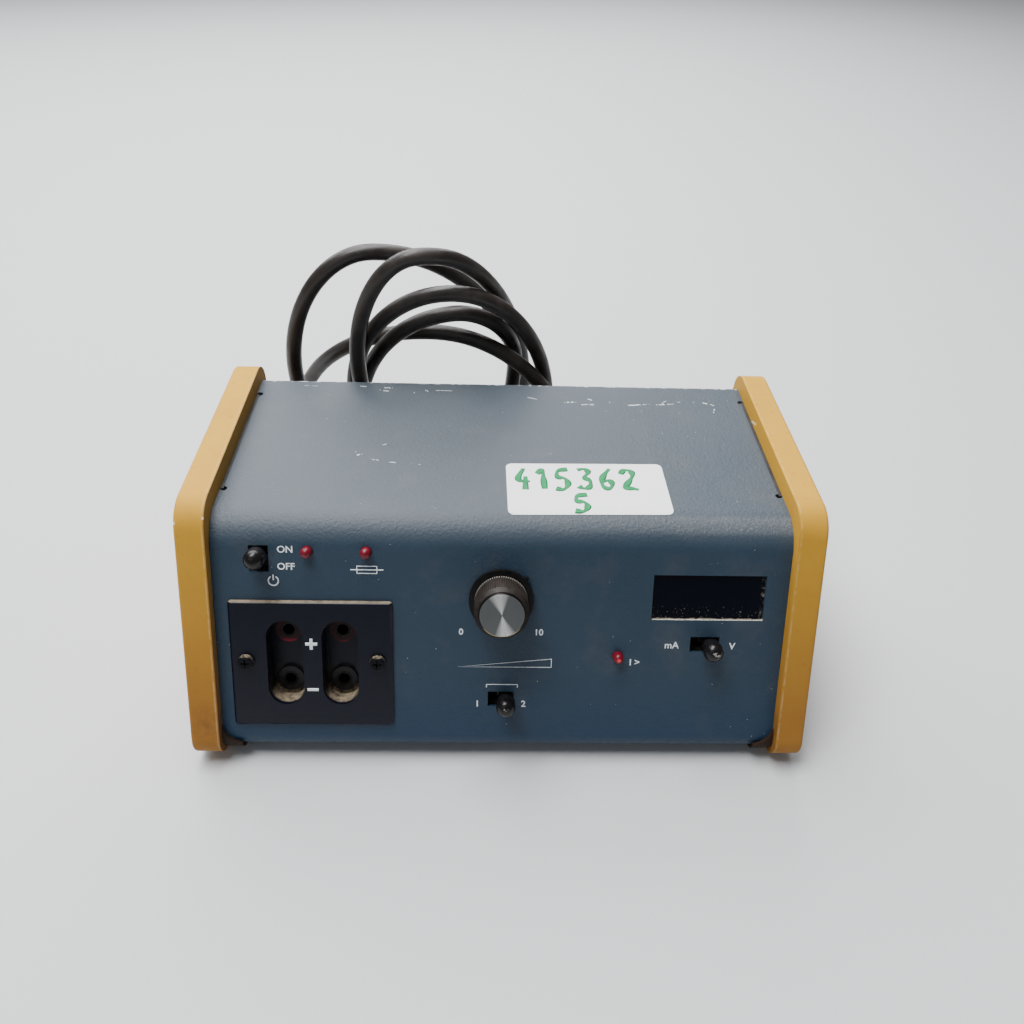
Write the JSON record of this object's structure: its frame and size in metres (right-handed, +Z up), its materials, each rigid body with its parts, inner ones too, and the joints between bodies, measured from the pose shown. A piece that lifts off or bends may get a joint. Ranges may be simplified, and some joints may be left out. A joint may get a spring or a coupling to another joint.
{
  "type": "electrophoresis power supply",
  "caption": "Low bench power supply with a sloping panel, thick side cheeks, sunk banana sockets, slide switches, a knob, a display window and a coiled mains cord.",
  "frame": {"origin": "on the bench, under the middle of the housing's box, the cord left out", "axes": "+X to the right seen from the front, +Y to the back, +Z up"},
  "size_m": [0.228, 0.2123, 0.1426],
  "materials": {
    "cheek_moulding": "satin",
    "cover_paint": "fine textured paint",
    "black_sheet": "satin",
    "foot_rubber": "matt",
    "bright_steel": "zinc plated",
    "terminal_moulding": "fine grain",
    "board_laminate": "solder mask",
    "red_plastic": "moulded",
    "black_plastic": "moulded",
    "plated_brass": "nickel plated",
    "lamp_red": "clear red",
    "window_tint": "tinted",
    "display_face": "moulded",
    "turned_aluminium": "spun",
    "core_steel": "varnished laminations",
    "copper_winding": "taped winding",
    "capacitor_sleeve": "shrink sleeve",
    "sink_aluminium": "black anodised",
    "fuse_glass": "clear",
    "cord_rubber": "smooth",
    "label_paper": "paper"
  },
  "bodies": {
    "housing": {"left_cheek": "cheek_moulding", "right_cheek": "cheek_moulding", "left_side_plate": "black_sheet", "right_side_plate": "black_sheet", "front_top_cover": "cover_paint", "base_plate": "black_sheet", "rear_panel": "black_sheet", "feet": "foot_rubber", "foot_screws": "bright_steel", "lip_screws": "bright_steel", "cheek_screws": "bright_steel", "terminal_plate": "terminal_moulding", "plate_screws": "bright_steel", "plate_nuts": "bright_steel", "jack_carrier": "board_laminate", "black_jack_heads": "black_plastic", "red_jack_heads": "red_plastic", "jack_sleeves": "plated_brass", "jack_nuts": "bright_steel", "front_board": "board_laminate", "board_spacers": "bright_steel", "power_switch_body": "black_plastic", "range_switch_body": "black_plastic", "meter_switch_body": "black_plastic", "lamps": "lamp_red", "display_window": "window_tint", "display_module": "display_face", "pot_body": "black_plastic", "pot_nut": "bright_steel", "standoffs": "bright_steel", "main_board": "board_laminate", "transformer_core": "core_steel", "transformer_winding": "copper_winding", "transformer_strap": "bright_steel", "capacitors": "capacitor_sleeve", "heat_sink": "sink_aluminium", "transistors": "black_plastic", "fuse_holder": "black_plastic", "fuse_holder_nut": "black_plastic", "strain_relief": "cord_rubber", "cord_coil": "cord_rubber", "cord_lead": "cord_rubber", "cord_tail": "cord_rubber", "plug_body": "cord_rubber", "plug_blades": "plated_brass", "top_label": "label_paper"},
    "knob": {"knob_body": "black_plastic", "knob_cap": "turned_aluminium", "knob_set_screw": "bright_steel", "pot_shaft": "bright_steel"},
    "power_lever": {"power_switch_lever": "black_plastic"},
    "range_lever": {"range_switch_lever": "black_plastic"},
    "meter_lever": {"meter_switch_lever": "black_plastic"},
    "fuse_carrier": {"fuse": "fuse_glass"},
    "fuse_cap": {"fuse_cap": "black_plastic"}
  },
  "joints": [
    {"name": "knob_turn", "type": "hinge", "parent": "housing", "child": "knob", "pos_m": [-0.0008, -0.04084, 0.06055], "axis": [0, -0.9157, 0.4019], "range_deg": [-103, 197]},
    {"name": "power_slide", "type": "slide", "parent": "housing", "child": "power_lever", "axis": [0, 0.4019, 0.9157], "range_m": [-0.0034, 0]},
    {"name": "range_slide", "type": "slide", "parent": "housing", "child": "range_lever", "axis": [1, 0, 0], "range_m": [-0.0034, 0]},
    {"name": "meter_slide", "type": "slide", "parent": "housing", "child": "meter_lever", "axis": [1, 0, 0], "range_m": [-0.0034, 0]},
    {"name": "fuse_pull", "type": "slide", "parent": "housing", "child": "fuse_carrier", "axis": [0, 1, 0], "range_m": [0, 0.028]},
    {"name": "fuse_cap_turn", "type": "hinge", "parent": "fuse_carrier", "child": "fuse_cap", "pos_m": [0.052, 0.05164, 0.0585], "axis": [0, 1, 0], "range_deg": [0, 90]}
  ]
}
